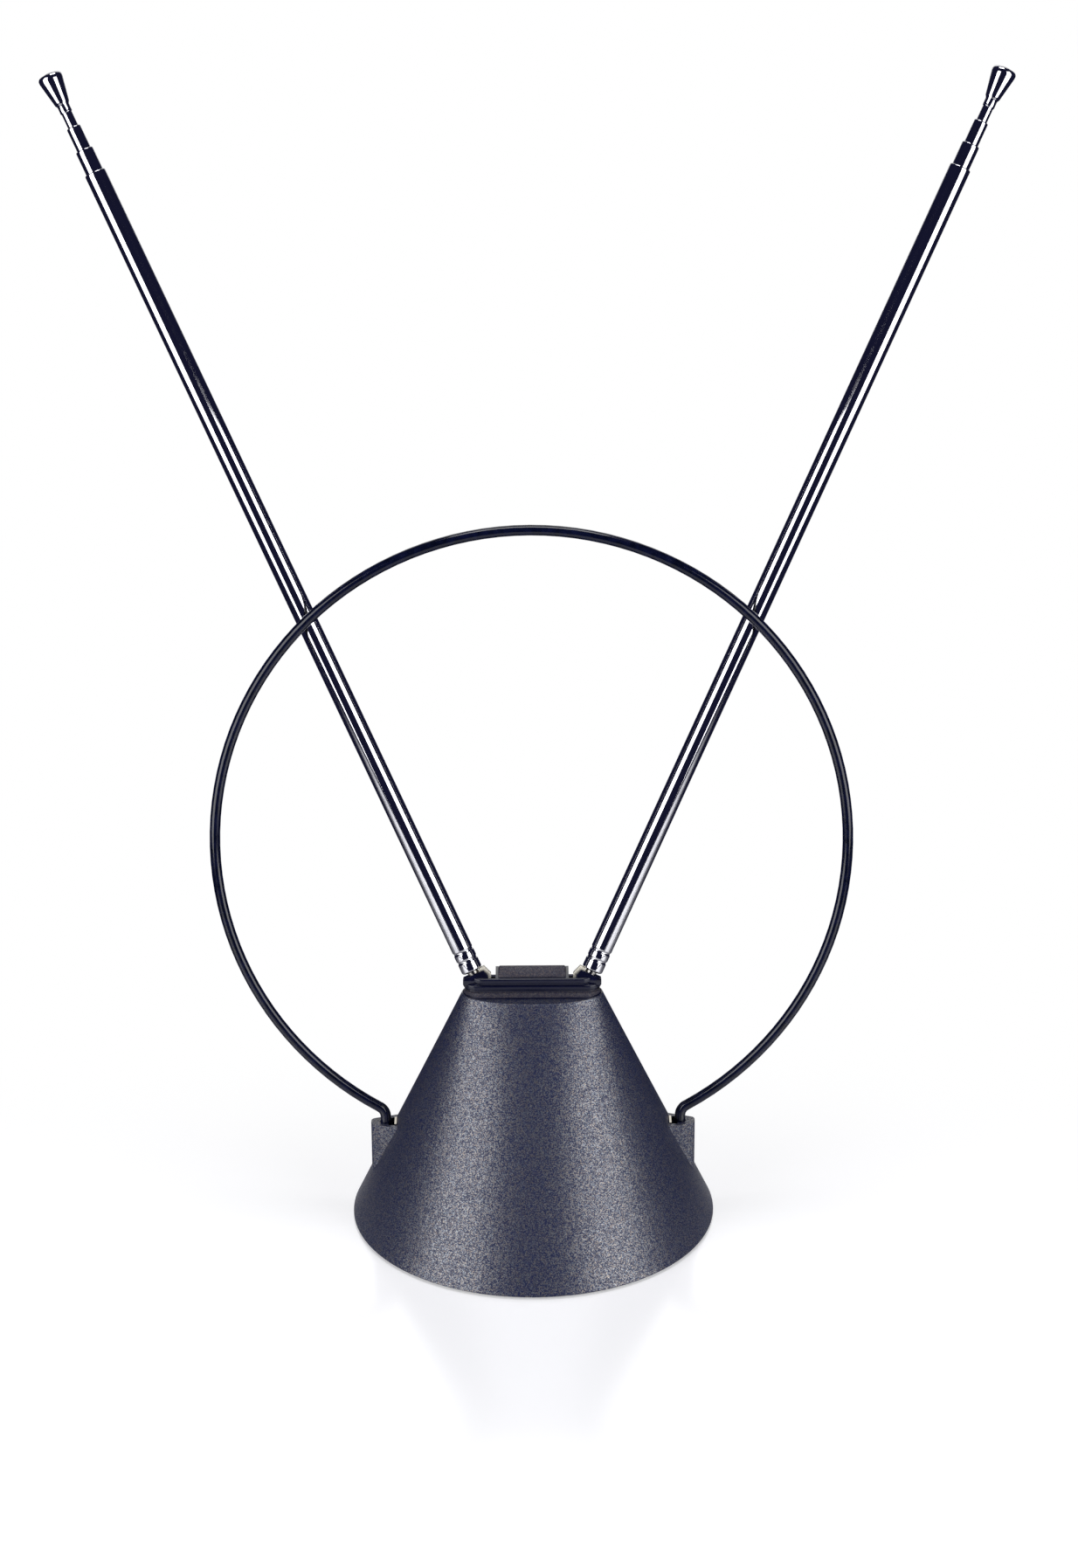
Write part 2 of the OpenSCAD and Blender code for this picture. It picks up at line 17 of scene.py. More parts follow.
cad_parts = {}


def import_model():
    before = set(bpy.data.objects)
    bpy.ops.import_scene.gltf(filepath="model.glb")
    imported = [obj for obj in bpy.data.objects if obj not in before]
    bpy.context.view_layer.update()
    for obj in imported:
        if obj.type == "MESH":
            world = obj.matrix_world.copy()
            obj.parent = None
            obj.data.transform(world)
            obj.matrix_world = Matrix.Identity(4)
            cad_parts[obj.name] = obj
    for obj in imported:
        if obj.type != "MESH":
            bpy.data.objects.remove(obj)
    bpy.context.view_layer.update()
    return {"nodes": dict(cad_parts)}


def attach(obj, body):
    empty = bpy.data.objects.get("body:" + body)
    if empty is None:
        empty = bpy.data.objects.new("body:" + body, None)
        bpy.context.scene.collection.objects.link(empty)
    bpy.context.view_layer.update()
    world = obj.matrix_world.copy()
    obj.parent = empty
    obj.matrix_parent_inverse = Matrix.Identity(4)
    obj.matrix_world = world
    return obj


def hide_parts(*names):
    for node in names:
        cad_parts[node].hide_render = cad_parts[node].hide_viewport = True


MM = 0.001
AXIS_Z = 74.2  # Height of both hinge pins.
SMOOTH_DEG = 32.0  # Edges over this angle stay sharp.
QUAD = ((1, 1), (-1, 1), (-1, -1), (1, -1))
LOG = logging.getLogger("antenna")
Point = tuple[float, float]
Triple = tuple[float, float, float]
Socket = bpy.types.NodeSocket
Thing = bpy.types.Object
Tree = bpy.types.NodeTree


class Side(Enum):
    """Side of the antenna, seen from the front; the value is the sign of its X."""

    LEFT = -1
    RIGHT = 1

    @property
    def word(self) -> str:
        """The word that starts this side's node names."""
        return self.name.lower()


def linear(colour: str) -> tuple[float, float, float, float]:
    """Turns an sRGB hex colour into linear light.

    Args:
        colour: Colour such as "#1c1c2e".

    Returns:
        Red, green, blue and an alpha of one.
    """
    parts = [int(colour[i : i + 2], 16) / 255 for i in (1, 3, 5)]
    red, green, blue = (
        c / 12.92 if c <= 0.04045 else ((c + 0.055) / 1.055) ** 2.4 for c in parts
    )
    return red, green, blue, 1.0


def feed(node: bpy.types.Node, inputs: dict[str | int, object]) -> None:
    """Sets or links input sockets of a node.

    Args:
        node: Node that is fed.
        inputs: Socket name or index to a value, or to an output socket to link.
    """
    for name, value in inputs.items():
        if isinstance(value, Socket):
            node.id_data.links.new(value, node.inputs[name])
        else:
            node.inputs[name].default_value = value


def add_node(
    tree: Tree, kind: str, inputs: dict | None = None, **settings: object
) -> bpy.types.Node:
    """Adds a node with its settings, socket values and links.

    Args:
        tree: Node tree that takes the node.
        kind: Blender's type name of the node.
        inputs: Socket name or index to a value, or to an output socket to link.
        **settings: Attributes of the node.

    Returns:
        The new node.
    """
    node = tree.nodes.new(kind)
    for name, value in settings.items():
        setattr(node, name, value)
    feed(node, inputs or {})
    return node


# Finishes


class Surface:
    """A material in the making: its Principled shader, and the patterns that feed it."""

    def __init__(self, name: str) -> None:
        """Starts the material with a bare shader.

        Args:
            name: Name of the material.
        """
        self.material = bpy.data.materials.new(name)
        self.material.use_nodes = True
        self.tree = self.material.node_tree
        self.tree.nodes.clear()
        self.shader = add_node(self.tree, "ShaderNodeBsdfPrincipled")
        surface = {"Surface": self.shader.outputs["BSDF"]}
        add_node(self.tree, "ShaderNodeOutputMaterial", surface)

    def place(self) -> Socket:
        """Gives the socket with the position on the object, in metres."""
        return add_node(self.tree, "ShaderNodeTexCoord").outputs["Object"]

    def noise(self, size_mm: float, detail: float = 2.0) -> Socket:
        """Adds a noise whose lumps are a given size.

        Args:
            size_mm: Size of one lump.
            detail: Number of finer layers.

        Returns:
            The noise's value socket.
        """
        inputs = {"Vector": self.place(), "Scale": 1 / (size_mm * MM), "Detail": detail}
        return add_node(self.tree, "ShaderNodeTexNoise", inputs).outputs["Fac"]

    def spread(
        self, value: Socket, low: float, high: float, span: Point = (0.3, 0.7)
    ) -> Socket:
        """Maps a noise onto a range, such as a roughness.

        Args:
            value: Noise value.
            low: Result at the start of the span.
            high: Result at the end of the span.
            span: Stretch of the noise that is used.

        Returns:
            The mapped value.
        """
        inputs = {
            "Value": value,
            "From Min": span[0],
            "From Max": span[1],
            "To Min": low,
            "To Max": high,
        }
        return add_node(self.tree, "ShaderNodeMapRange", inputs).outputs["Result"]

    def blend(self, share: object, first: object, second: object) -> Socket:
        """Mixes two colours.

        Args:
            share: Share of the second colour, as a number or a socket.
            first: First colour, as a value or a socket.
            second: Second colour, as a value or a socket.

        Returns:
            The mixed colour.
        """
        inputs = {0: share, 6: first, 7: second}
        return add_node(self.tree, "ShaderNodeMix", inputs, data_type="RGBA").outputs[2]

    def two_shades(self, share: Socket, shades: tuple[str, str]) -> None:
        """Colours the shader with two shades, mixed by a pattern from 0 to 1."""
        colour = self.blend(share, *(linear(shade) for shade in shades))
        feed(self.shader, {"Base Color": colour})

    def uneven_gloss(self, noise: Socket, roughness: Point) -> None:
        """Lets the shader's roughness follow a noise, from the least to the greatest."""
        feed(self.shader, {"Roughness": self.spread(noise, *roughness)})

    def relief(self, height: Socket, depth_mm: float, edge_mm: float = 0.0) -> None:
        """Gives the shader a bump, and optionally softly rounded edges.

        Args:
            height: Height pattern from 0 to 1.
            depth_mm: Depth of the pattern.
            edge_mm: Radius that edges look rounded by, or 0.
        """
        inputs = {"Height": height, "Distance": depth_mm * MM, "Strength": 1.0}
        if edge_mm:
            edge = add_node(self.tree, "ShaderNodeBevel", {"Radius": edge_mm * MM})
            inputs["Normal"] = edge.outputs["Normal"]
        bump = add_node(self.tree, "ShaderNodeBump", inputs)
        feed(self.shader, {"Normal": bump.outputs["Normal"]})


@dataclass(frozen=True)
class Finish:
    """A surface finish: what the material is, and how it was made."""

    name: str

    @cache
    def build(self) -> bpy.types.Material:
        """Makes the Blender material of this finish, the first time that it is asked for.

        Returns:
            The material, with its node tree filled.
        """
        surface = Surface(self.name)
        self.fill(surface)
        return surface.material

    def fill(self, surface: Surface) -> None:
        """Adds this finish's own nodes; each kind of finish has its own."""
        raise NotImplementedError


@dataclass(frozen=True)
class FlakePaint(Finish):
    """Metallic paint on moulded ABS: cool and warm metal flakes in a dark base.

    Real flakes are 0.02 to 0.05 mm; they are drawn as coarse as they need to show.
    The span turns each cell's random value into how much of it is bare metal.
    """

    base: str = "#1c2448"
    cool_flake: str = "#858f9b"
    warm_flake: str = "#94897e"
    flake_mm: float = 0.2
    bare_span: Point = (0.42, 0.88)
    roughness: float = 0.38
    # Least and greatest change of the roughness from cell to cell.
    rougher: Point = (-0.06, 0.08)
    gloss: float = 0.35
    # Weight and roughness of the clear top coat: a faint second gloss over the flakes.
    clear_coat: Point = (0.1, 0.3)
    # Width and depth of the dried paint's lumps.
    orange_peel_mm: Point = (0.5, 0.008)
    edge_mm: float = 0.45

    def fill(self, surface: Surface) -> None:
        """Scatters cool and warm metal flakes over the base coat.

        Args:
            surface: Material that gets the paint.
        """
        grid = {"Vector": surface.place(), "Scale": 1 / (self.flake_mm * MM)}
        cells = add_node(surface.tree, "ShaderNodeTexVoronoi", grid)
        random = {"Color": cells.outputs["Color"]}
        split = add_node(surface.tree, "ShaderNodeSeparateColor", random)
        red, green, blue = split.outputs
        share = surface.spread(red, 0.0, 1.0, self.bare_span)
        tint = surface.blend(green, linear(self.cool_flake), linear(self.warm_flake))
        low, high = (self.roughness + change for change in self.rougher)
        surface.uneven_gloss(blue, (low, high))
        inputs = {
            "Base Color": surface.blend(share, linear(self.base), tint),
            "Metallic": share,
            "Specular IOR Level": self.gloss,
            "Coat Weight": self.clear_coat[0],
            "Coat Roughness": self.clear_coat[1],
        }
        feed(surface.shader, inputs)
        lump_mm, depth_mm = self.orange_peel_mm
        surface.relief(surface.noise(lump_mm), depth_mm, self.edge_mm)


@dataclass(frozen=True)
class MouldedPlastic(Finish):
    """Injection-moulded plastic: a faint mottle, and the mould's spark-eroded grain."""

    base: str = "#14141f"
    mottle: str = "#1d1d2b"
    mottle_mm: float = 3.0
    grain_mm: float = 0.4
    grain_depth_mm: float = 0.01
    roughness: float = 0.3
    # Least and greatest factor of the roughness over the mottle.
    unevenness: Point = (0.85, 1.15)
    gloss: float = 0.5
    edge_mm: float = 0.0

    def fill(self, surface: Surface) -> None:
        """Adds the mottle, the grain and the uneven gloss.

        Args:
            surface: Material that gets the plastic.
        """
        patch = surface.noise(self.mottle_mm, 4.0)
        surface.two_shades(surface.spread(patch, 0.0, 1.0), (self.base, self.mottle))
        low, high = (self.roughness * factor for factor in self.unevenness)
        surface.uneven_gloss(patch, (low, high))
        feed(surface.shader, {"Specular IOR Level": self.gloss})
        grain = surface.noise(self.grain_mm)
        surface.relief(grain, self.grain_depth_mm, self.edge_mm)


@dataclass(frozen=True)
class PlatedMetal(Finish):
    """Plated or turned metal: the plating's tint, and fine marks of drawing or turning."""

    tint: str = "#d6d6da"
    worn: str = "#c2c2c8"
    worn_span: Point = (0.4, 0.75)
    roughness: float = 0.06
    # Least and greatest factor of the roughness over the haze.
    unevenness: Point = (0.8, 1.5)
    metal: float = 1.0
    mark_mm: float = 0.5
    mark_depth_mm: float = 0.0008
    patch_mm: float = 6.0

    def fill(self, surface: Surface) -> None:
        """Adds cloudy haze in the plating and the fine marks.

        Args:
            surface: Material that gets the metal.
        """
        haze = surface.noise(self.patch_mm, 5.0)
        share = surface.spread(haze, 0.0, 1.0, self.worn_span)
        surface.two_shades(share, (self.tint, self.worn))
        low, high = (self.roughness * factor for factor in self.unevenness)
        surface.uneven_gloss(haze, (low, high))
        feed(surface.shader, {"Metallic": self.metal})
        surface.relief(surface.noise(self.mark_mm), self.mark_depth_mm)


@dataclass(frozen=True)
class DippedCoat(Finish):
    """Gloss lacquer that wire was dipped in: nearly black, wet, uneven in thickness."""

    base: str = "#060a1c"
    thin: str = "#0d1230"
    ripple_mm: float = 2.2
    ripple_depth_mm: float = 0.001
    roughness: Point = (0.12, 0.2)
    gloss: float = 0.3
    # Weight and roughness of the wet-looking surface of the lacquer.
    wet_coat: Point = (0.5, 0.06)

    def fill(self, surface: Surface) -> None:
        """Adds the uneven colour and the ripples of the lacquer.

        Args:
            surface: Material that gets the lacquer.
        """
        ripple = surface.noise(self.ripple_mm, 1.0)
        surface.two_shades(surface.spread(ripple, 0.0, 1.0), (self.base, self.thin))
        surface.uneven_gloss(ripple, self.roughness)
        inputs = {
            "Specular IOR Level": self.gloss,
            "Coat Weight": self.wet_coat[0],
            "Coat Roughness": self.wet_coat[1],
        }
        feed(surface.shader, inputs)
        surface.relief(ripple, self.ripple_depth_mm)


@dataclass(frozen=True)
class NaturalRubber(Finish):
    """Moulded rubber: deep, dusty black with a soft sheen."""

    base: str = "#111112"
    dust: str = "#262627"
    dust_mm: float = 1.6
    dusty: Point = (0.0, 0.7)
    roughness: float = 0.75
    sheen: float = 0.15
    # Width and depth of the rubber's tooth.
    tooth_mm: Point = (0.3, 0.02)
    edge_mm: float = 0.3

    def fill(self, surface: Surface) -> None:
        """Adds dust in patches, a soft sheen and a fine tooth.

        Args:
            surface: Material that gets the rubber.
        """
        share = surface.spread(surface.noise(self.dust_mm, 4.0), *self.dusty)
        surface.two_shades(share, (self.base, self.dust))
        feed(surface.shader, {"Roughness": self.roughness, "Sheen Weight": self.sheen})
        lump_mm, depth_mm = self.tooth_mm
        surface.relief(surface.noise(lump_mm), depth_mm, self.edge_mm)


# Each finish of this antenna; the comments say what it gives the eye.
# Satin charcoal paint: two soft streaks down the housing, navy in the shade.
HOUSING_PAINT = FlakePaint("satin_charcoal_flake_paint")
# Polished ABS of the ribbed head: dark lines with thin blue-grey highlights.
RIB_PLASTIC = MouldedPlastic(
    "polished_blue_black_abs", base="#0b0e28", mottle="#11142e", roughness=0.2
)
# The housing's paint again, made lighter, browner and matt, on the raised block and the
# band below the ribs, which face
# mostly upwards: painted light from above, without the housing's streaks.
PAINTED_TOP_LIGHT_GREY_PAINT = FlakePaint(
    "dry_brownish_grey_flake_paint",
    base="#2c2a3c",
    cool_flake="#5d616b",
    warm_flake="#766b66",
    roughness=0.6,
)
# Acetal of the knuckles: glossy blue-black, sharp reflections.
KNUCKLE_PLASTIC = MouldedPlastic(
    "glossy_blue_black_acetal",
    base="#0c0d1c",
    mottle="#131530",
    roughness=0.12,
    gloss=0.7,
)
# Unpainted ABS below and inside: plain dark grey, dull.
INNER_PLASTIC = MouldedPlastic(
    "moulded_dark_abs",
    base="#1a1a20",
    mottle="#222229",
    roughness=0.5,
    grain_depth_mm=0.03,
    edge_mm=0.3,
)
# Bright chrome on drawn brass tube: mirror-like, hardly any haze.
TUBE_CHROME = PlatedMetal("bright_chrome_on_drawn_tube")
# Blackened steel of the hinge pins: dark, with a dull glint.
PIN_STEEL = PlatedMetal(
    "blackened_pin_steel", tint="#2c2c36", worn="#3a3a46", roughness=0.3
)
# Nickel on spring steel: warmer and a little duller than the chrome.
CLIP_NICKEL = PlatedMetal(
    "nickel_plated_spring_steel", tint="#d8d2c6", worn="#bdb6a8", roughness=0.16
)
# Tin on the contact strips: soft white, without the chrome's depth.
STRIP_TIN = PlatedMetal(
    "tin_plated_bronze_strip",
    tint="#fbf6e6",
    worn="#efe8d6",
    roughness=0.35,
    metal=0.25,
)
# Zinc on the screws: pale, slightly yellow, with a satin blur.
SCREW_ZINC = PlatedMetal(
    "zinc_plated_steel", tint="#b9b7ae", worn="#8f8e88", roughness=0.34
)
# Cast iron of the weight: rough and dark, never seen from outside.
BALLAST_IRON = PlatedMetal(
    "raw_cast_iron",
    tint="#3b3a39",
    worn="#2a2624",
    roughness=0.65,
    mark_mm=0.8,
    mark_depth_mm=0.06,
)
# Turned brass of the rods' plugs, nickel-plated: grey where it shows under the rods.
PLUG_BRASS = PlatedMetal(
    "nickel_plated_turned_brass", tint="#a9a6a2", worn="#8d8a86", roughness=0.2
)
# Glass-fibre laminate: green solder resist, half glossy.
BOARD_LAMINATE = MouldedPlastic(
    "green_glass_laminate", base="#16402a", mottle="#1d5236", roughness=0.35
)
# Fired ferrite: matt, almost black, with a fine tooth.
CORE_FERRITE = MouldedPlastic(
    "fired_ferrite",
    base="#201f20",
    mottle="#2b292a",
    roughness=0.7,
    grain_depth_mm=0.04,
)
# Lacquer of the loop: almost black, with a thin bright line along the wire.
LOOP_LACQUER = DippedCoat("gloss_black_lacquer_on_wire")
# Rubber of the feet and the bush: dull black, slightly dusty.
RUBBER = NaturalRubber("moulded_black_rubber")


def wear(thing: Thing, finish: Finish) -> None:
    """Gives one object one finish on all its faces."""
    thing.data.materials.clear()
    thing.data.materials.append(finish.build())


# Mesh tools


def smooth(mesh: bpy.types.Mesh, angle_deg: float = SMOOTH_DEG) -> None:
    """Shades a mesh smooth, with edges over an angle left sharp."""
    mesh.polygons.foreach_set("use_smooth", [True] * len(mesh.polygons))
    mesh.set_sharp_from_angle(angle=math.radians(angle_deg))


def arc(
    centre: Point, radius: float, start: float, end: float, steps: int = 8
) -> list[Point]:
    """Points of a circular arc in a profile.

    Args:
        centre: Centre of the arc.
        radius: Its radius.
        start: First angle in degrees.
        end: Last angle in degrees.
        steps: Number of chords.

    Returns:
        The points, first to last.
    """
    x, y = centre
    turns = [math.radians(start + (end - start) * i / steps) for i in range(steps + 1)]
    return [(x + radius * math.cos(a), y + radius * math.sin(a)) for a in turns]


def piece(
    name: str,
    mesh: bmesh.types.BMesh,
    matrix: Matrix | None = None,
    angle_deg: float = SMOOTH_DEG,
) -> Thing:
    """Turns a mesh in millimetres into an object in metres.

    Args:
        name: Name of the piece.
        mesh: Its mesh in millimetres; it is freed.
        matrix: Placing in the row frame, in millimetres.
        angle_deg: Edges over this angle stay sharp.

    Returns:
        The linked object.
    """
    if matrix is not None:
        mesh.transform(matrix)
    mesh.transform(Matrix.Scale(MM, 4))
    bmesh.ops.recalc_face_normals(mesh, faces=mesh.faces)
    data = bpy.data.meshes.new(name)
    mesh.to_mesh(data)
    mesh.free()
    smooth(data, angle_deg)
    thing = bpy.data.objects.new(name, data)
    bpy.context.scene.collection.objects.link(thing)
    return thing


def lathe(profile: Sequence[Point]) -> bmesh.types.BMesh:
    """Turns a profile about the Z axis.

    Args:
        profile: Radius and height of each point; a radius of 0 closes an end.

    Returns:
        The turned mesh, in millimetres.
    """
    mesh, segments = bmesh.new(), 96
    rings: list[list[bmesh.types.BMVert]] = []
    turn = [2 * math.pi * i / segments for i in range(segments)]
    for radius, height in profile:
        angles = turn if radius > 0 else [0.0]
        points = [(radius * math.cos(a), radius * math.sin(a), height) for a in angles]
        rings.append([mesh.verts.new(point) for point in points])
    for low, high in zip(rings, rings[1:]):
        for i in range(segments):
            j = (i + 1) % segments
            corners = [low[i % len(low)], low[j % len(low)]]
            corners += [high[j % len(high)], high[i % len(high)]]
            unique = list(dict.fromkeys(corners))
            if len(unique) > 2:
                mesh.faces.new(unique)
    return mesh


def loft(rings: Sequence[Sequence[Vector]]) -> bmesh.types.BMesh:
    """Joins equal rings of points into a closed skin.

    Args:
        rings: Rings from one end to the other, each with the same number of points.

    Returns:
        The skin with both ends filled, in millimetres.
    """
    mesh = bmesh.new()
    rows = [[mesh.verts.new(p) for p in ring] for ring in rings]
    count = len(rows[0])
    for low, high in zip(rows, rows[1:]):
        for i in range(count):
            j = (i + 1) % count
            mesh.faces.new((low[i], low[j], high[j], high[i]))
    mesh.faces.new(rows[0])
    mesh.faces.new(rows[-1])
    return mesh


def rounded_ring(width: float, depth: float, radius: float, height: float) -> list[Vector]:
    """Outline of a rectangle with rounded corners, at a height.

    Args:
        width: Size along X.
        depth: Size along Y.
        radius: Corner radius.
        height: Height of the outline.

    Returns:
        The outline's points.
    """
    x, y = width / 2 - radius, depth / 2 - radius
    corners = [(x, y, 0), (-x, y, 90), (-x, -y, 180), (x, -y, 270)]
    return [
        Vector((px, py, height))
        for cx, cy, a in corners
        for px, py in arc((cx, cy), radius, a, a + 90, steps=14)
    ]


def round_edges(mesh: bmesh.types.BMesh, radius: float, angle_deg: float = 28.0) -> None:
    """Rounds the sharp edges of a mesh.

    Args:
        mesh: Mesh in millimetres.
        radius: Size of the rounding.
        angle_deg: Edges sharper than this are rounded.
    """
    bmesh.ops.recalc_face_normals(mesh, faces=mesh.faces)
    mesh.normal_update()
    limit = math.radians(angle_deg)
    inner = [edge for edge in mesh.edges if len(edge.link_faces) == 2]
    sharp = [edge for edge in inner if edge.calc_face_angle() > limit]
    bmesh.ops.bevel(
        mesh,
        geom=sharp,
        offset=radius,
        offset_type="OFFSET",
        segments=3,
        profile=0.5,
        affect="EDGES",
        clamp_overlap=True,
    )


def subtract(thing: Thing, cutters: Sequence[Thing]) -> None:
    """Cuts other objects out of one, and removes them.

    Args:
        thing: Object that keeps the result.
        cutters: Objects that are cut out and then deleted.
    """
    for cutter in cutters:
        cut = thing.modifiers.new("cut", "BOOLEAN")
        cut.operation = "DIFFERENCE"
        cut.solver = "EXACT"
        cut.object = cutter
    shown = thing.evaluated_get(bpy.context.evaluated_depsgraph_get())
    mesh = bpy.data.meshes.new_from_object(shown)
    thing.modifiers.clear()
    thing.data = mesh
    smooth(mesh)
    for cutter in cutters:
        bpy.data.objects.remove(cutter)


# Sub-assemblies


@dataclass
class Part:
    """A sub-assembly: it knows the frame's nodes, and dresses or replaces them."""

    nodes: dict[str, Thing]

    def dress(self, name: str, finish: Finish, smooth_deg: float = SMOOTH_DEG) -> None:
        """Keeps a CAD node and gives it its finish.

        Args:
            name: Name of the node.
            finish: Finish that it gets.
            smooth_deg: Edges over this angle stay sharp.
        """
        wear(self.nodes[name], finish)
        smooth(self.nodes[name].data, smooth_deg)
        LOG.info("dressed %s in %s", name, finish.name)

    def stand_in(
        self, thing: Thing, node: str, body: str, finish: Finish, slot: str
    ) -> None:
        """Puts a detailed piece in the place of a CAD node.

        Args:
            thing: The new piece.
            node: Node that it stands for.
            body: Body that it moves with.
            finish: Its finish.
            slot: The record's material slot; not used.
        """
        wear(thing, finish)
        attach(thing, body)
        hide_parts(node)
        LOG.info("made %s for %s", thing.name, node)


@dataclass
class Base(Part):
    """The weighted base: painted housing, closing plate, feet and what is inside."""

    plain: dict[str, Finish] = field(
        default_factory=lambda: {
            "housing": HOUSING_PAINT,
            "base_plate": INNER_PLASTIC,
            "ballast_ring": BALLAST_IRON,
            "plate_screws": SCREW_ZINC,
            **{f"foot_{number}": RUBBER for number in range(1, 5)},
            "centre_foot": RUBBER,
            "balun_board": BOARD_LAMINATE,
            "balun_core": CORE_FERRITE,
            "cable_grommet": RUBBER,
        }
    )

    def build(self) -> None:
        """Dresses every node of the base."""
        for name, finish in self.plain.items():
            self.dress(name, finish)


@dataclass
class Loop(Part):
    """The lacquered wire loop and the clips in its sockets."""

    def build(self) -> None:
        """Dresses the wire and its two clips."""
        self.dress("loop_wire", LOOP_LACQUER, smooth_deg=60)
        for side in Side:
            self.dress(f"{side.word}_loop_clip", CLIP_NICKEL)


@dataclass
class HingeHead(Part):
    """The ribbed head between the rods, with its raised middle block and the pins."""

    # From below upwards: the band with its seam, two ribs with a groove under each.
    foot_z: float = 69.7
    width: float = 39.2
    depth: float = 9.0
    corner: float = 4.3
    band_h: float = 1.9
    band_inset: float = 0.05
    seam_h: float = 0.25
    groove_h: float = 0.6
    groove_inset: float = 0.55
    rib_h: float = 1.45
    rib_edge: float = 0.35
    upper_rib_step: float = 1.7
    # Width, depth and thickness of the oval flange that rests on the housing; its top
    # carries the painted top light over the housing's shelf, and its dark side is a
    # painted shadow line at the seam.
    flange: Triple = (39.2, 16.2, 0.42)
    flange_edge: float = 0.1
    # The troughs: start from the middle, floor radius, depth of the rear opening.
    trough_x: float = 10.3
    trough_r: float = 3.55
    rear_drop: float = 4.0
    cap_size: Triple = (19.2, 6.4, 2.0)
    cap_top: Point = (18.4, 1.2)
    cap_edge: float = 0.18

    def ring(self, inset: float, height: float, step: float = 0.0) -> list[Vector]:
        """Outline of the head, inset all round and shortened at both ends.

        Args:
            inset: Distance inwards from the full outline.
            height: Height of the outline.
            step: Extra shortening at each end.

        Returns:
            The outline's points.
        """
        width = self.width - 2 * (inset + step)
        depth = self.depth - 2 * inset
        return rounded_ring(width, depth, self.corner - inset, height)

    def slab(self, low: float, high: float, step: float) -> list[list[Vector]]:
        """Outlines of one rib, with rounded long edges.

        Args:
            low: Height of its lower face.
            high: Height of its upper face.
            step: Shortening at each end.

        Returns:
            Outlines from below upwards.
        """
        edge = self.rib_edge
        below = [
            (edge * (1 - math.sin(a)), low + edge * (1 - math.cos(a)))
            for a in (0.0, 0.5, 1.0, math.pi / 2)
        ]
        above = [(inset, low + high - height) for inset, height in reversed(below)]
        return [self.ring(inset, height, step) for inset, height in below + above]

    def oval(self, inset: float, height: float) -> list[Vector]:
        """Outline of the thin oval flange, with as many points as the head's.

        Args:
            inset: Distance inwards from the flange's edge.
            height: Height of the outline.

        Returns:
            The outline's points.
        """
        a, b = self.flange[0] / 2 - inset, self.flange[1] / 2 - inset
        outline = self.ring(0, height)
        turns = [math.atan2(p.y / b, p.x / a) for p in outline]
        return [Vector((a * math.cos(t), b * math.sin(t), height)) for t in turns]

    def ribs(self) -> Thing:
        """Builds the flange, the band, the two ribs and the grooves between them.

        Returns:
            The head, with both troughs cut out.
        """
        flange_top = self.foot_z + self.flange[2]
        band_top = self.foot_z + self.band_h
        rib_1 = band_top + self.groove_h
        rib_2 = rib_1 + self.rib_h + self.groove_h
        step, inset = self.upper_rib_step, self.groove_inset
        rings = [
            self.oval(0, self.foot_z),
            self.oval(0, flange_top - self.flange_edge),
            self.oval(self.flange_edge, flange_top),
            self.ring(self.band_inset, band_top - self.seam_h),
            self.ring(inset, band_top),
            self.ring(inset, rib_1),
            *self.slab(rib_1, rib_1 + self.rib_h, 0),
            self.ring(inset, rib_1 + self.rib_h),
            self.ring(inset, rib_2, step),
            *self.slab(rib_2, rib_2 + self.rib_h, step),
        ]
        head = piece("ribbed_head", loft(rings))
        subtract(head, [self.trough(side) for side in Side])
        return head

    def paint_top_light_on_band(self, head: Thing) -> None:
        """Paints light from above on the sloping band over the flange, in the raised
        block's lighter matt paint.

        Args:
            head: The finished head.
        """
        head.data.materials.append(PAINTED_TOP_LIGHT_GREY_PAINT.build())
        slack = 0.02
        low = (self.foot_z + self.flange[2] - slack) * MM
        high = (self.foot_z + self.band_h + slack) * MM
        for face in head.data.polygons:
            heights = [head.data.vertices[v].co.z for v in face.vertices]
            if min(heights) > low and max(heights) < high:
                face.material_index = 1

    def trough(self, side: Side) -> Thing:
        """Makes the cutter for the trough that one knuckle turns in.

        Args:
            side: Side of the antenna.

        Returns:
            The cutter, open above and to the rear.
        """
        r, far, past_end = self.trough_r, 12.0, 2.0
        rear_z = AXIS_Z - self.rear_drop
        profile = [
            (-r, AXIS_Z + far),
            *arc((0, AXIS_Z), r, 180, 270, steps=24),
            (0.0, rear_z),
            (far, rear_z),
            (far, AXIS_Z + far),
        ]
        reach = (self.trough_x, self.width / 2 + past_end)
        ends = [[Vector((x * side.value, y, z)) for y, z in profile] for x in reach]
        return piece(f"trough_cutter_{side.word}", loft(ends))

    def cap(self) -> Thing:
        """Builds the raised block with its softened edges.

        Returns:
            The block.
        """
        w, d, h = self.cap_size
        top_w, top_d = self.cap_top
        z = self.foot_z + self.band_h + 2 * (self.groove_h + self.rib_h)
        rings = [
            [Vector((sx * a / 2, sy * b / 2, height)) for sx, sy in QUAD]
            for a, b, height in ((w, d, z), (top_w, top_d, z + h))
        ]
        mesh = loft(rings)
        round_edges(mesh, self.cap_edge)
        return piece("raised_block", mesh)

    def build(self) -> None:
        """Builds and dresses the head, its block and the two pins."""
        head = self.ribs()
        self.stand_in(head, "hinge_head", "base", RIB_PLASTIC, "black_plastic")
        # The band and the raised block get the lighter paint: painted light from above.
        self.paint_top_light_on_band(head)
        self.stand_in(self.cap(), "hinge_cap", "base", PAINTED_TOP_LIGHT_GREY_PAINT, "grey_plastic")
        for side in Side:
            self.dress(f"{side.word}_hinge_pin", PIN_STEEL)


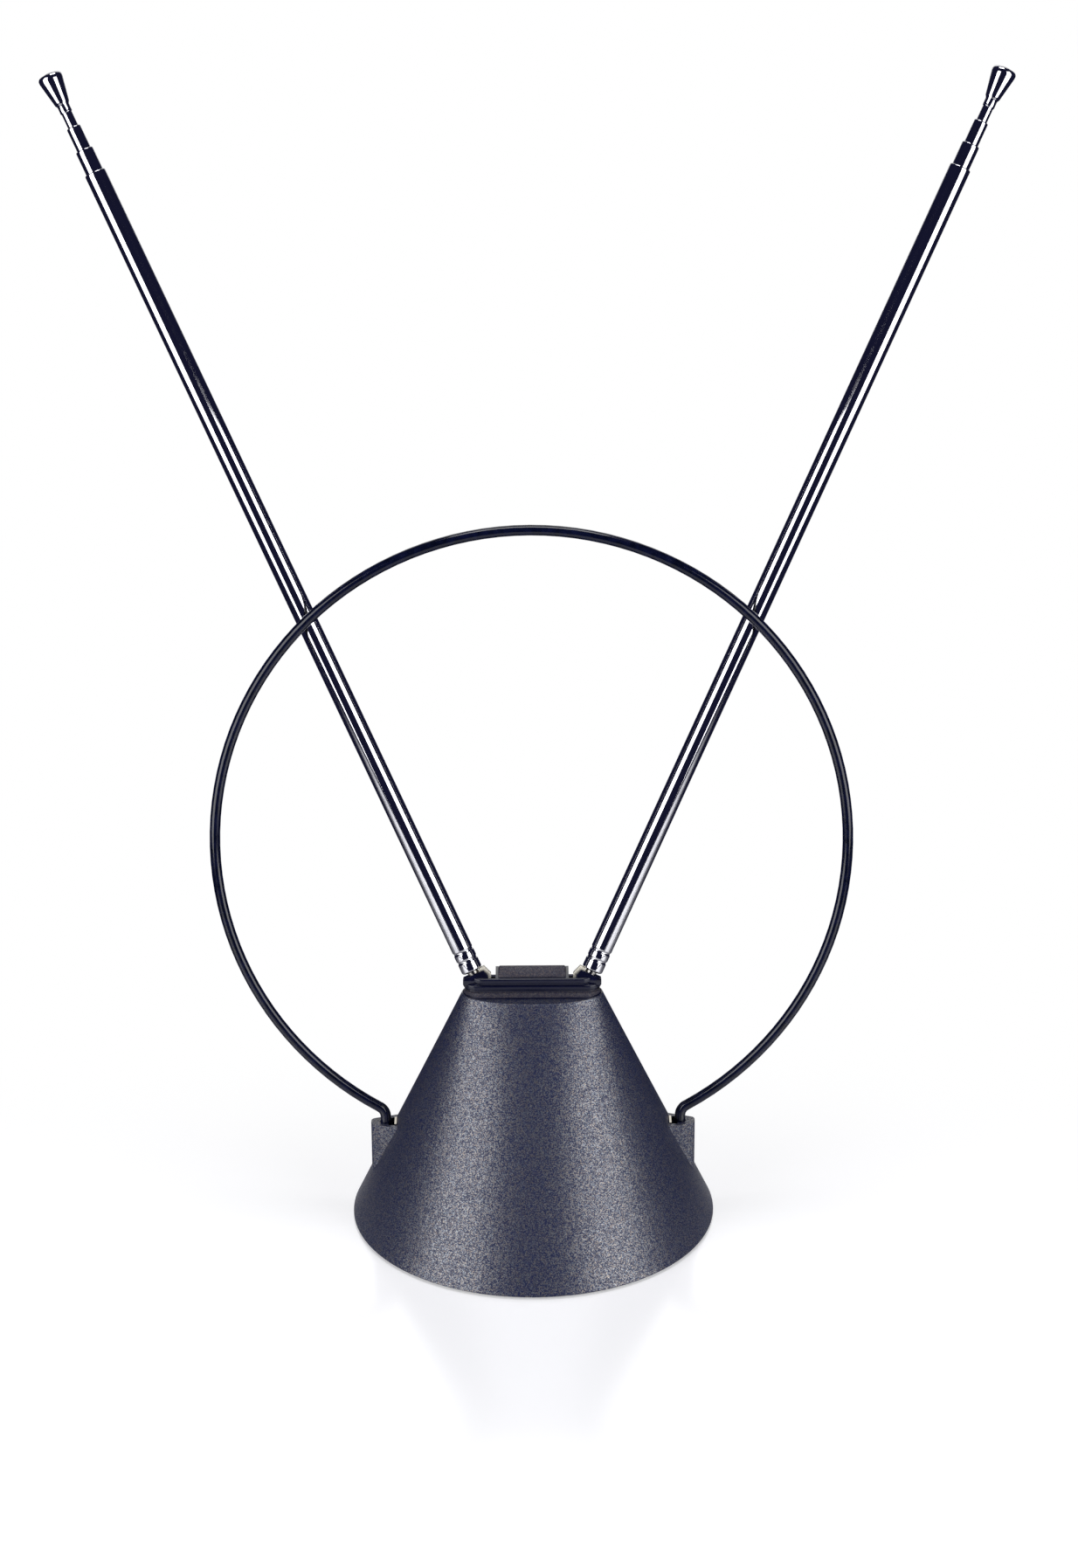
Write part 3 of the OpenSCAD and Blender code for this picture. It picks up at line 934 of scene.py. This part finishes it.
@dataclass
class Rod(Part):
    """One telescopic rod with its knuckle and contact strip."""

    side: Side = Side.LEFT
    smooth_deg: float = 40.0
    lean_deg: float = 19.0
    spread_deg: float = 24.8
    # The rod's lower end, from the pins' axis at the antenna's middle.
    end_x: float = 16.84
    end_z: float = 1.9
    # The strip: thickness, depth, half of its eye, length of its seat under the rod.
    strip_t: float = 0.8
    strip_d: float = 3.4
    strip_eye: float = 1.7
    strip_seat: float = 1.3
    strip_edge: float = 0.14
    knuckle_r: float = 3.3
    knuckle_x: Point = (12.4, 19.5)
    knuckle_tall: float = 6.0
    knuckle_chamfer: float = 1.6
    knuckle_edge: float = 0.22
    # The tubes: outer radii, wall, play in each other, and how much each one shows.
    radii: tuple[float, ...] = (3.0, 2.5, 2.0, 1.5)
    wall: float = 0.35
    play: float = 0.05
    length: float = 247.0
    show: float = 6.9
    into_knob: float = 4.0
    # The curl under the first tube, and how far its edge runs inwards and upwards.
    curl: float = 0.7
    curl_edge: Point = (0.3, 0.4)
    crimps: Point = (3.5, 6.2)
    crimp_w: float = 1.3
    crimp_depth: float = 0.26
    # Height of the second tube's foot, and from each foot to the next.
    nest: Point = (12.0, 5.0)
    # Heights on a foot's bush where its slope begins and ends.
    bush_h: Point = (4.0, 4.3)
    # A lip's greatest roll, its share of the step to the hole, and its depth.
    lip_roll: float = 0.42
    lip_share: float = 0.8
    lip_deep: float = 3.0
    knob_len: float = 9.25
    knob_r: float = 3.45
    knob_rim: float = 1.15
    knob_dome: float = 0.27
    # How far the knob's neck reaches down over the last tube, and its wall.
    knob_neck: Point = (2.6, 0.2)
    # The knob's flare: radius, and height above the end of the tube stages.
    knob_flare: tuple[Point, ...] = (
        (1.7, -0.45),
        (1.85, -0.1),
        (2.1, 0.3),
        (2.16, 0.6),
        (3.4, 7.2),
        (3.43, 7.5),
    )

    @property
    def swing(self) -> Matrix:
        """Frame of what turns on the pin.

        Returns:
            The frame, in millimetres.
        """
        flip = Matrix.Diagonal((self.side.value, 1, 1, 1))
        lean = Matrix.Rotation(-math.radians(self.lean_deg), 4, "X")
        return Matrix.Translation((0, 0, AXIS_Z)) @ lean @ flip

    @property
    def axis(self) -> Matrix:
        """Frame of the rod: its lower end at the origin, its axis up."""
        turn = Matrix.Rotation(math.radians(self.spread_deg), 4, "Y")
        return self.swing @ Matrix.Translation((self.end_x, 0, self.end_z)) @ turn

    def seat(self, x: float) -> float:
        """Height of the knuckle's sloping seat.

        Args:
            x: Distance from the antenna's middle.

        Returns:
            Height over the pins' axis.
        """
        angle = math.radians(self.spread_deg)
        seat_x = self.end_x - self.strip_t * math.sin(angle)
        seat_z = self.end_z - self.strip_t * math.cos(angle)
        return seat_z - (x - seat_x) * math.tan(angle)

    @property
    def seat_in_x(self) -> float:
        """Where the seat ends and the slope beside the strip begins.

        Returns:
            Distance from the antenna's middle.
        """
        angle = math.radians(self.spread_deg)
        seat_x = self.end_x - self.strip_t * math.sin(angle)
        return seat_x - self.radii[0] * math.cos(angle)

    def knuckle(self) -> Thing:
        """Builds the wedge-shaped knuckle with its round underside.

        Returns:
            The knuckle, its edges softly rounded.
        """
        r, tall = self.knuckle_r, self.knuckle_tall
        section = [(r, tall), *arc((0, 0), r, 0, -180, 28), (-r, tall)]
        x0, x1 = self.knuckle_x
        mesh = loft([[Vector((x, y, z)) for y, z in section] for x in (x0, x1)])
        inner, angle = self.seat_in_x, math.radians(self.spread_deg)
        ridge = Vector((inner, 0, self.seat(inner)))
        planes = [
            (ridge, Vector((math.sin(angle), 0, math.cos(angle)))),
            (ridge, Vector((-1, 0, 1))),
            (Vector((x1, 0, self.knuckle_chamfer - r)), Vector((2, 0, -1))),
        ]
        for point, normal in planes:
            cut = bmesh.ops.bisect_plane(
                mesh,
                geom=[*mesh.verts, *mesh.edges, *mesh.faces],
                plane_co=point,
                plane_no=normal,
                clear_outer=True,
            )
            edges = [e for e in cut["geom_cut"] if isinstance(e, bmesh.types.BMEdge)]
            bmesh.ops.contextual_create(mesh, geom=edges)
        round_edges(mesh, self.knuckle_edge, angle_deg=35)
        name = f"{self.side.word}_wedge_knuckle"
        return piece(name, mesh, self.swing, self.smooth_deg)

    def strip(self) -> Thing:
        """Builds the bright bent strip from the pin up to the rod.

        Returns:
            The strip with its rounded edges.
        """
        angle, inner = math.radians(self.spread_deg), self.seat_in_x
        rise = self.strip_t / math.cos(angle)
        slope = self.seat(inner) - inner + self.strip_t * math.sqrt(2)
        top_x = (self.seat(0) + rise - slope) / (1 + math.tan(angle))
        out_x = self.knuckle_x[0] - self.strip_t
        end = inner + self.strip_seat
        profile = [
            (end, self.seat(end) + rise),
            (top_x, top_x + slope),
            (out_x, out_x + slope),
            (out_x, -self.strip_eye),
            (self.knuckle_x[0], -self.strip_eye),
            (self.knuckle_x[0], self.seat(inner) - inner + self.knuckle_x[0]),
            (inner, self.seat(inner)),
            (end, self.seat(end)),
        ]
        half = self.strip_d / 2
        mesh = loft([[Vector((x, y, z)) for x, z in profile] for y in (-half, half)])
        round_edges(mesh, self.strip_edge)
        return piece(f"{self.side.word}_bent_strip", mesh, self.swing)

    def lip(self, r: float, inner: float, top: float) -> list[Point]:
        """Profile of a tube's rolled upper end.

        Args:
            r: Outer radius of the tube.
            inner: Radius of the lip's hole.
            top: Height of the end.

        Returns:
            Points from outside inwards.
        """
        roll = min(self.lip_roll, (r - inner) * self.lip_share)
        return [
            (r, top - 1.2),
            *arc((r - roll, top - roll), roll, 0, 90, steps=6),
            (inner, top - 0.02),
            (inner, top - self.lip_deep),
        ]

    def crimp(self, r: float, at: float) -> list[Point]:
        """Profile of one softly rolled groove.

        Args:
            r: Radius of the tube.
            at: Height of the groove.

        Returns:
            Points from below upwards.
        """
        steps = 12
        shares = [i / steps - 0.5 for i in range(steps + 1)]
        depths = [0.5 + 0.5 * math.cos(2 * math.pi * share) for share in shares]
        return [
            (r - self.crimp_depth * depth, at + self.crimp_w * share)
            for depth, share in zip(depths, shares)
        ]

    def lower_end(self, i: int) -> list[Point]:
        """Profile of a tube's lower end: curled in, or widened to a bush.

        Args:
            i: Number of the tube from 0, the one that is curled in.

        Returns:
            Points from inside outwards.
        """
        r, wall = self.radii[i], self.wall
        if i == 0:
            inwards, upwards = self.curl_edge
            profile = [(r - wall - inwards, wall + upwards), (r - self.curl, wall)]
            profile += arc((r - self.curl, self.curl), self.curl, -90, 0)
            for at in self.crimps:
                profile += self.crimp(r, at)
            return profile
        foot = self.nest[0] + (i - 1) * self.nest[1]
        bush = self.radii[i - 1] - wall - self.play
        low, high = (foot + height for height in self.bush_h)
        return [(r - wall, foot), (bush, foot), (bush, low), (r, high)]

    def tubes(self) -> list[tuple[Thing, int]]:
        """Turns the four tubes.

        Returns:
            Each tube with its number from 1.
        """
        made = []
        holes = [r + self.play for r in self.radii[1:]] + [self.radii[-1] - self.wall]
        tops = [self.length + i * self.show for i in range(len(self.radii))]
        tops[-1] += self.into_knob
        for i, (r, hole, top) in enumerate(zip(self.radii, holes, tops)):
            mesh = lathe([*self.lower_end(i), *self.lip(r, hole, top)])
            name = f"{self.side.word}_chrome_tube_{i + 1}"
            made.append((piece(name, mesh, self.axis, self.smooth_deg), i + 1))
        return made

    def knob(self) -> Thing:
        """Turns the flared knob on the tip.

        Returns:
            The knob.
        """
        stages_end = self.length + 3 * self.show
        top = stages_end + self.knob_len
        down, wall = self.knob_neck
        neck = (self.radii[-1], stages_end - down + wall)
        rim = (self.knob_r - self.knob_rim, top - self.knob_rim - self.knob_dome)
        profile = [
            *arc(neck, wall, -90, 0, steps=4),
            *((radius, stages_end + height) for radius, height in self.knob_flare),
            *arc(rim, self.knob_rim, -8, 84, steps=10),
            (1.4, top - 0.05),
            (0, top),
        ]
        name = f"{self.side.word}_flared_knob"
        return piece(name, lathe(profile), self.axis, self.smooth_deg)

    def build(self) -> None:
        """Builds and dresses everything of this rod."""
        word = self.side.word
        rod = f"{word}_rod"
        wedge = self.knuckle()
        self.stand_in(wedge, f"{word}_knuckle", rod, KNUCKLE_PLASTIC, "knuckle_plastic")
        strip = self.strip()
        self.stand_in(strip, f"{word}_contact_strip", rod, STRIP_TIN, "strip_chrome")
        self.dress(f"{word}_end_plug", PLUG_BRASS)
        for tube, number in self.tubes():
            body = rod if number == 1 else f"{word}_stage_{number}"
            self.stand_in(tube, f"{word}_tube_{number}", body, TUBE_CHROME, "chrome")
        knob, tip = self.knob(), f"{word}_stage_4"
        self.stand_in(knob, f"{word}_tip_knob", tip, TUBE_CHROME, "chrome")


# Studio


@dataclass(frozen=True)
class Softbox:
    """A rectangular studio light, aimed at a point."""

    name: str
    place: Triple
    aim: Triple
    size: Point
    watts: float

    def build(self) -> None:
        """Adds the light to the scene."""
        data = bpy.data.lights.new(self.name, "AREA")
        data.shape = "RECTANGLE"
        data.size, data.size_y = self.size
        data.energy = self.watts
        lamp = bpy.data.objects.new(self.name, data)
        lamp.location = self.place
        way = Vector(self.aim) - Vector(self.place)
        lamp.rotation_mode = "QUATERNION"
        lamp.rotation_quaternion = way.to_track_quat("-Z", "Y")
        bpy.context.scene.collection.objects.link(lamp)


@dataclass
class Studio:
    """Pale floor, soft lights, the room that the chrome mirrors, and the camera."""

    lights: tuple[Softbox, ...] = (
        Softbox("left_softbox", (-0.64, -0.49, 0.39), (0, 0, 0.39), (0.6, 0.76), 4.6),
        Softbox("right_softbox", (0.64, -0.49, 0.39), (0, 0, 0.39), (0.6, 0.76), 4.6),
        Softbox("top_softbox", (0, 0.1, 1.4), (0, 0, 0.1), (0.8, 0.5), 6.0),
    )
    floor_hex: str = "#f4f4f6"
    floor_half_mm: float = 4000.0
    # Roughness and refractive index of the floor: a soft mirror image of the base.
    floor_gloss: Point = (0.18, 2.3)
    # The floor's own light, for the camera alone, that lifts its pale grey to white.
    floor_lift: float = 0.38
    white: str = "#ffffff"
    # The dim front of the room, which the dark bands of the chrome mirror.
    room_dark: str = "#1a1b34"
    # The pale part of the floor: where it fades to white, and where its middle is.
    table_m: Point = (0.27, 0.42)
    table_front: float = 0.3
    # The white backdrop behind, as a mirror sees it: how far to the rear, how wide.
    backdrop_rear: Point = (0.62, 0.74)
    backdrop_side: Point = (0.46, 0.34)
    # Camera, from the fit to the photograph: millimetres and degrees.
    camera_at: Triple = (0.0, -1000.0, 562.16)
    pitch_deg: float = 23.197
    yaw_deg: float = -0.179
    roll_deg: float = -0.398
    focal_px: float = 4504.8
    image_px: tuple[int, int] = (1234, 1795)
    centre_px: float = 594.95
    sensor_mm: float = 36.0
    clip_m: Point = (0.05, 50.0)

    def fade(self, tree: Tree) -> Socket:
        """Share of the far floor by distance from the table's middle, from 0 to 1.

        Args:
            tree: Node tree of the floor's material.

        Returns:
            The share's socket.
        """
        place = add_node(tree, "ShaderNodeTexCoord").outputs["Object"]
        shift = {0: place, 1: (0.0, self.table_front, 0.0)}
        middle = add_node(tree, "ShaderNodeVectorMath", shift, operation="ADD")
        way = {0: middle.outputs[0]}
        reach = add_node(tree, "ShaderNodeVectorMath", way, operation="LENGTH")
        span = {
            "Value": reach.outputs["Value"],
            "From Min": self.table_m[0],
            "From Max": self.table_m[1],
        }
        kind = "ShaderNodeMapRange"
        faded = add_node(tree, kind, span, interpolation_type="SMOOTHSTEP")
        return faded.outputs["Result"]

    def glow(self, tree: Tree, kind: str, seen: Socket) -> Socket:
        """Makes a background that is white where it is seen and dim elsewhere.

        Args:
            tree: Node tree of the floor or of the world.
            kind: Type name of the glowing shader.
            seen: Share of the white.

        Returns:
            The mixed shader's socket.
        """
        dim = add_node(tree, kind, {"Color": linear(self.room_dark)})
        bright = add_node(tree, kind, {"Color": linear(self.white)})
        mix = {0: seen, 1: dim.outputs[0], 2: bright.outputs[0]}
        return add_node(tree, "ShaderNodeMixShader", mix).outputs[0]

    def sight(self, tree: Tree, mirrored: Socket | float) -> Socket:
        """Share of white: all of it for the camera and through glass, some in mirrors.

        Args:
            tree: Node tree of the floor or of the world.
            mirrored: Share of white that a mirror shows.

        Returns:
            The share's socket.
        """
        path = add_node(tree, "ShaderNodeLightPath").outputs
        direct = {0: path["Is Camera Ray"], 1: path["Is Transmission Ray"]}
        straight = add_node(tree, "ShaderNodeMath", direct, operation="MAXIMUM")
        glossy = {0: path["Is Glossy Ray"], 1: mirrored}
        gloss = add_node(tree, "ShaderNodeMath", glossy, operation="MULTIPLY")
        both = {0: straight.outputs[0], 1: gloss.outputs[0]}
        return add_node(tree, "ShaderNodeMath", both, operation="MAXIMUM").outputs[0]

    def floor(self) -> None:
        """Lays the pale floor, which turns into plain white background far out."""
        mesh, half = bmesh.new(), self.floor_half_mm
        bmesh.ops.create_grid(mesh, x_segments=1, y_segments=1, size=half)
        ground = piece("studio_floor", mesh)
        material = bpy.data.materials.new("pale_studio_floor")
        material.use_nodes = True
        tree = material.node_tree
        tree.nodes.clear()
        pale = {
            "Base Color": linear(self.floor_hex),
            "Roughness": self.floor_gloss[0],
            "IOR": self.floor_gloss[1],
        }
        near = add_node(tree, "ShaderNodeBsdfPrincipled", pale)
        path = add_node(tree, "ShaderNodeLightPath").outputs
        lift = {0: path["Is Camera Ray"], 1: self.floor_lift}
        strength = add_node(tree, "ShaderNodeMath", lift, operation="MULTIPLY")
        light = {"Color": linear(self.white), "Strength": strength.outputs[0]}
        lifted = add_node(tree, "ShaderNodeEmission", light)
        both = {0: near.outputs[0], 1: lifted.outputs[0]}
        lit = add_node(tree, "ShaderNodeAddShader", both)
        far = self.glow(tree, "ShaderNodeEmission", self.sight(tree, 0.0))
        mix = {0: self.fade(tree), 1: lit.outputs[0], 2: far}
        whole = add_node(tree, "ShaderNodeMixShader", mix)
        add_node(tree, "ShaderNodeOutputMaterial", {"Surface": whole.outputs[0]})
        ground.data.materials.append(material)

    def room(self) -> None:
        """Makes the world: a white backdrop behind, and a dim room around the rest."""
        world = bpy.data.worlds.new("studio_room")
        bpy.context.scene.world = world
        world.use_nodes = True
        tree = world.node_tree
        tree.nodes.clear()
        way = add_node(tree, "ShaderNodeTexCoord").outputs["Generated"]
        parts = add_node(tree, "ShaderNodeSeparateXYZ", {0: way}).outputs
        aside = add_node(tree, "ShaderNodeMath", {0: parts["X"]}, operation="ABSOLUTE")
        spans = ((parts["Y"], self.backdrop_rear), (aside.outputs[0], self.backdrop_side))
        both = {}
        for i, (value, (low, high)) in enumerate(spans):
            span = {"Value": value, "From Min": low, "From Max": high}
            both[i] = add_node(tree, "ShaderNodeMapRange", span).outputs[0]
        behind = add_node(tree, "ShaderNodeMath", both, operation="MULTIPLY")
        seen = self.sight(tree, behind.outputs[0])
        shader = self.glow(tree, "ShaderNodeBackground", seen)
        add_node(tree, "ShaderNodeOutputWorld", {"Surface": shader})

    def camera(self) -> None:
        """Places the camera as the photograph was taken."""
        angles = (self.pitch_deg, self.yaw_deg, self.roll_deg)
        pitch, yaw, roll = (math.radians(angle) for angle in angles)
        level = math.cos(pitch)
        ahead = Vector((math.sin(yaw) * level, math.cos(yaw) * level, -math.sin(pitch)))
        right = ahead.cross(Vector((0, 0, 1))).normalized()
        up = right.cross(ahead)
        right, up = (
            right * math.cos(roll) + up * math.sin(roll),
            up * math.cos(roll) - right * math.sin(roll),
        )
        data = bpy.data.cameras.new("photo_camera")
        long_side = max(self.image_px)
        data.sensor_width = self.sensor_mm
        data.lens = self.focal_px / long_side * data.sensor_width
        data.shift_x = (self.image_px[0] / 2 - self.centre_px) / long_side
        data.clip_start, data.clip_end = self.clip_m
        camera = bpy.data.objects.new("photo_camera", data)
        turn = Matrix((right, up, -ahead)).transposed()
        place = Matrix.Translation(Vector(self.camera_at) * MM)
        camera.matrix_world = place @ turn.to_4x4()
        bpy.context.scene.collection.objects.link(camera)
        bpy.context.scene.camera = camera

    def build(self) -> None:
        """Sets up the whole studio."""
        self.floor()
        self.room()
        for light in self.lights:
            light.build()
        self.camera()
        bpy.context.scene.view_settings.view_transform = "Standard"


def main() -> None:
    """Builds the parts in order."""
    logging.basicConfig(level=logging.INFO, format="%(name)s: %(message)s")
    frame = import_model()
    nodes = frame["nodes"]
    makers: list[tuple[str, Callable[[], None]]] = [
        ("base", Base(nodes).build),
        ("loop", Loop(nodes).build),
        ("hinge head", HingeHead(nodes).build),
        *[(f"{side.word} rod", Rod(nodes, side).build) for side in Side],
        ("studio", Studio().build),
    ]
    for name, build in makers:
        build()
        LOG.info("finished the %s", name)


if __name__ == "__main__":
    main()
